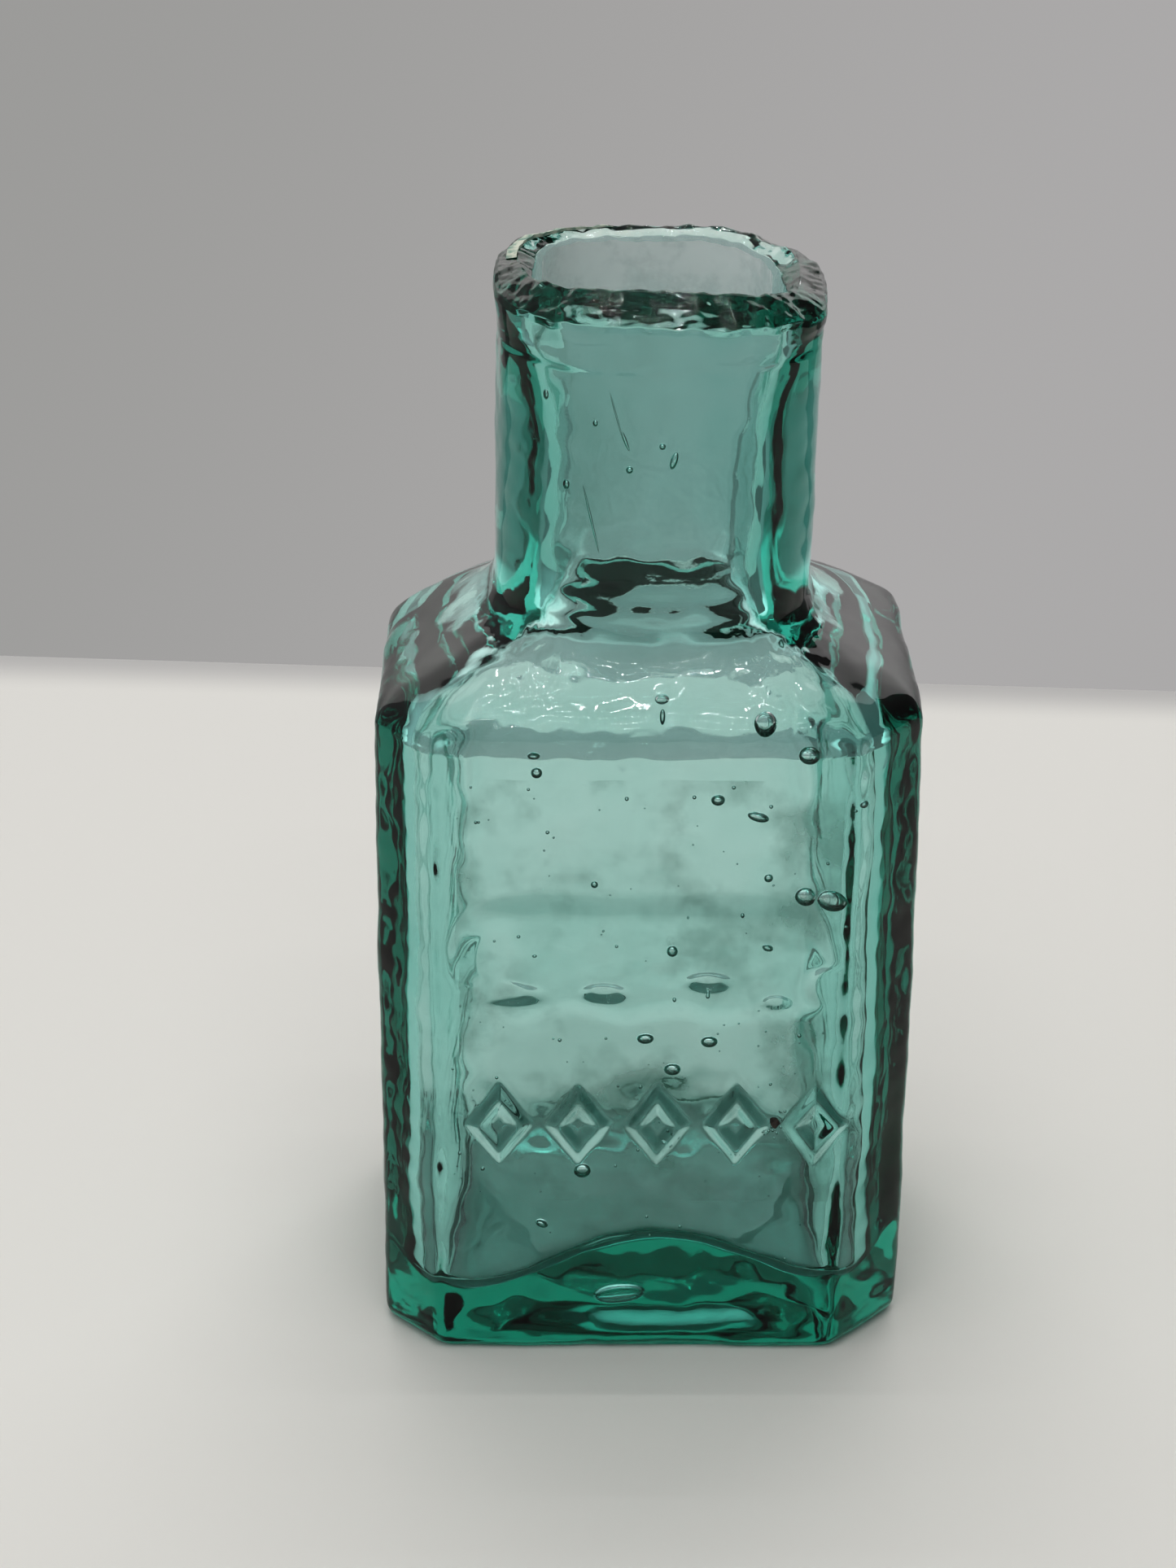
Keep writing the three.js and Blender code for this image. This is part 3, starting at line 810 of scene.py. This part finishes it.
def glass_material():
    """Aqua glass that absorbs light by thickness, with a faintly uneven surface."""
    material, nodes, links = new_material("aqua_glass")
    shader = nodes["Principled BSDF"]
    shader.inputs["Base Color"].default_value = (1, 1, 1, 1)
    shader.inputs["Roughness"].default_value = 0.02
    shader.inputs["IOR"].default_value = 1.52
    shader.inputs["Transmission Weight"].default_value = 1
    absorb = nodes.new("ShaderNodeVolumeAbsorption")
    absorb.inputs["Color"].default_value = GLASS_TINT
    absorb.inputs["Density"].default_value = GLASS_DENSITY
    links.new(absorb.outputs[0], nodes["Material Output"].inputs["Volume"])
    height = noise(nodes, links, scale=700, detail=6)
    links.new(bump(nodes, links, height, strength=0.3, distance=0.03), shader.inputs["Normal"])
    return material


def mineral_material(name, stops, scale, roughness, relief):
    """Rough mineral: mottled between the colours of the stops, with a grainy surface."""
    material, nodes, links = new_material(name)
    shader = nodes["Principled BSDF"]
    shader.inputs["Roughness"].default_value = roughness
    fac = noise(nodes, links, scale)
    links.new(ramp(nodes, links, fac, stops), shader.inputs["Base Color"])
    links.new(bump(nodes, links, fac, strength=0.8, distance=relief), shader.inputs["Normal"])
    return material


def film_material(name, colour, scale, noise_span, cover_span):
    """A patchy film: cloudy noise decides how much of the glass it hides."""
    material, nodes, links = new_material(name)
    shader = nodes["Principled BSDF"]
    shader.inputs["Roughness"].default_value = 0.55
    fac = noise(nodes, links, scale, detail=7)
    paler = tuple(min(1, c * 1.25) for c in colour)
    links.new(ramp(nodes, links, fac, [(0.3, colour), (0.7, paler)]), shader.inputs["Base Color"])
    cover = map_range(nodes, links, fac, noise_span, cover_span, smooth=True)
    links.new(cover, shader.inputs["Alpha"])
    return material


# ---- table and backdrop ----------------------------------------------------------------

TABLE_EDGE = 111 + CENTRE_Y         # far edge of the table, straight behind the bottle
EDGE_SLOPE = math.tan(math.radians(3.6))
TABLE_NEAR = -1200
TABLE_HALF = 900
TABLE_DROP = -0.03                  # keeps the table just clear of the base
# Painted shade: over this distance before its far edge, the paper's colour runs from white to grey,
# standing in for an edge that turns away from the light.
EDGE_SHADE_SPAN = 9                       # the paper greys off over this distance before the edge
PAPER_AND_EDGE_SHADE = [(0, (0.80, 0.785, 0.748)), (1, (0.55, 0.54, 0.53))]

BACKDROP_Y = 1800
BACKDROP_HALF = 1500
BACKDROP_LOW = -1600
BACKDROP_HIGH = 2200
# Painted shade: the backdrop's own glow runs from this darker grey on the left to the lighter grey on the
# right.
BACKDROP_SHADED_GREY = [(0, (0.286, 0.284, 0.279)), (1, (0.338, 0.332, 0.332))]


def quad(name, corners, material):
    """A flat staging surface with four corners in millimetres."""
    obj = mesh_object(name, corners, [(0, 1, 2, 3)], smooth=False)
    obj.data.materials.append(material)


def table_material():
    """White paper with painted shade along its far edge: it greys off softly there, standing in for an
    edge that turns away from the light.
    """
    material, nodes, links = new_material("table_paper")
    shader = nodes["Principled BSDF"]
    shader.inputs["Roughness"].default_value = 0.7
    place = nodes.new("ShaderNodeNewGeometry")
    depth = along(nodes, links, place.outputs["Position"], (EDGE_SLOPE, 1, 0))
    # painted shade of the far edge: the paper darkens towards it
    edge_shade = map_range(nodes, links, depth, ((TABLE_EDGE - EDGE_SHADE_SPAN) * MM, TABLE_EDGE * MM))
    links.new(ramp(nodes, links, edge_shade, PAPER_AND_EDGE_SHADE), shader.inputs["Base Color"])
    return material


def wall_material():
    """Grey backdrop that gives off its own light, with painted shade a little darker to the left and a
    painted glow high up near the lamps.
    """
    material, nodes, links, glow = glowing("backdrop_grey")
    place = nodes.new("ShaderNodeNewGeometry")
    slant = along(nodes, links, place.outputs["Position"], (0.9, 0, -0.45))
    shade = map_range(nodes, links, slant, (-0.2, 0.55))
    links.new(ramp(nodes, links, shade, BACKDROP_SHADED_GREY), glow.inputs["Color"])
    split = nodes.new("ShaderNodeSeparateXYZ")
    links.new(place.outputs["Position"], split.inputs[0])
    # painted light: the backdrop glows stronger higher up, as if lit by the lamps
    lamp_glow = map_range(nodes, links, split.outputs["Z"], (-0.3, 0.9), (1, 3.5), smooth=True)
    links.new(lamp_glow, glow.inputs["Strength"])
    return material


def make_stage():
    """The table top, whose far edge runs a little askew, and the backdrop behind it."""
    half, drop = TABLE_HALF, TABLE_DROP
    askew = EDGE_SLOPE * half
    quad("table_top", [(-half, TABLE_NEAR, drop), (half, TABLE_NEAR, drop),
                       (half, TABLE_EDGE - askew, drop), (-half, TABLE_EDGE + askew, drop)],
         table_material())
    half, y = BACKDROP_HALF, BACKDROP_Y
    quad("backdrop", [(-half, y, BACKDROP_LOW), (half, y, BACKDROP_LOW),
                      (half, y, BACKDROP_HIGH), (-half, y, BACKDROP_HIGH)], wall_material())


# ---- lights ----------------------------------------------------------------------------

LAMP_ROWS = 7
LAMP_DOTS = 28
LAMP_POWER = 105
DOT_HALF = 1.8
DOT_CORNERS = [(-1, -1), (-1, 1), (1, 1), (1, -1)]
ROW_HALF = 150                      # half the length of a row of dots
ROW_FIRST_Y = -400
ROW_PITCH = 110
ROW_HEIGHT = 520
ROW_ARCH = 0.0007                   # the rows hang lower with the square of their distance
SKY_GREY = [(0.0, (0.15, 0.15, 0.15)), (0.8, (0.43, 0.43, 0.435))]


def lamp_row(name, y, z):
    """A row of small bright dots, as on a light tent's strip lamp."""
    points, faces = [], []
    for i in range(LAMP_DOTS):
        x = -ROW_HALF + 2 * ROW_HALF * i / (LAMP_DOTS - 1)
        faces.append([len(points) + k for k in range(4)])
        points += [(x + dx * DOT_HALF, y + dy * DOT_HALF, z) for dx, dy in DOT_CORNERS]
    material, _, _, glow = glowing(name)
    glow.inputs["Strength"].default_value = LAMP_POWER
    obj = mesh_object(name, points, faces, smooth=False)
    obj.data.materials.append(material)


def sky():
    """Soft light from overhead and the left, dim towards the right."""
    world = bpy.data.worlds.new("studio")
    world.use_nodes = True
    nodes, links = world.node_tree.nodes, world.node_tree.links
    place = nodes.new("ShaderNodeTexCoord")
    slant = along(nodes, links, place.outputs["Generated"], (-0.6, 0, 0.8))
    links.new(ramp(nodes, links, slant, SKY_GREY), nodes["Background"].inputs["Color"])
    bpy.context.scene.world = world


def make_lights():
    """Rows of dots in an arch over the bottle, and the soft sky."""
    for i in range(LAMP_ROWS):
        y = ROW_FIRST_Y + ROW_PITCH * i
        lamp_row(f"lamp_row_{i + 1}", y, ROW_HEIGHT - ROW_ARCH * y * y)
    sky()


# ---- camera and look -------------------------------------------------------------------

CAMERA_LENS = 80.0706               # focal length, for a sensor of the next size
CAMERA_SENSOR = 36
CAMERA_PITCH = math.radians(25.117)
CAMERA_YAW = math.radians(-1.167)
CAMERA_ROLL = math.radians(0.768)
CAMERA_TARGET = (-4.225, CENTRE_Y, 38.936)
CAMERA_DISTANCE = 258.071           # from the target, back along the view


def make_camera():
    """Camera that looks down at the bottle's front, slightly turned and rolled."""
    data = bpy.data.cameras.new("camera")
    data.lens = CAMERA_LENS
    data.sensor_width = CAMERA_SENSOR
    data.clip_start, data.clip_end = 0.01, 20
    level = math.cos(CAMERA_PITCH)
    back = Vector((math.sin(CAMERA_YAW) * level, -math.cos(CAMERA_YAW) * level, math.sin(CAMERA_PITCH)))
    right = (-back).cross(Vector((0, 0, 1))).normalized()
    up = right.cross(-back)
    c, s = math.cos(CAMERA_ROLL), math.sin(CAMERA_ROLL)
    turn = Matrix((right * c + up * s, -right * s + up * c, back)).transposed()
    place = (Vector(CAMERA_TARGET) + back * CAMERA_DISTANCE) * MM
    obj = bpy.data.objects.new("camera", data)
    obj.matrix_world = Matrix.Translation(place) @ turn.to_4x4()
    bpy.context.scene.collection.objects.link(obj)
    bpy.context.scene.camera = obj


def set_look():
    """Tone curve, and enough light bounces for thick glass."""
    scene = bpy.context.scene
    scene.view_settings.view_transform = "Standard"
    scene.view_settings.look = "High Contrast"
    scene.cycles.max_bounces = 24
    scene.cycles.transmission_bounces = 24
    scene.cycles.glossy_bounces = 8
    scene.cycles.transparent_max_bounces = 12


# ---- building the scene ----------------------------------------------------------------

def settle(piece, material):
    """Gives a piece its material, and makes it ride on the bottle's one body."""
    piece.data.materials.append(material)
    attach(piece, "root")


glass = make_glass()
settle(glass, glass_material())
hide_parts("base", "body", "shoulder", "neck", "lip", "relief_panel",
            *[f"relief_motif_{i + 1}" for i in range(MOTIFS)])

stone = make_stone()
settle(stone, mineral_material("stone", DARK_STONE, scale=4000, roughness=0.8, relief=0.1))
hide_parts("stone_grain")

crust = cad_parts["lime_crust"].data
crust.materials.clear()
crust.materials.append(mineral_material("lime", PALE_LIME, scale=1400, roughness=0.85, relief=0.2))

thick_lime = film_material("lime_mouth", (0.86, 0.88, 0.88), scale=260,
                           noise_span=(0.34, 0.58), cover_span=(0.5, 0.95))
thin_lime = film_material("lime_wall", (0.36, 0.46, 0.40), scale=190,
                          noise_span=(0.46, 0.72), cover_span=(0.0, 0.5))
settle(mouth_film(), thick_lime)
settle(wall_film(), thin_lime)

make_stage()
make_lights()
make_camera()
set_look()
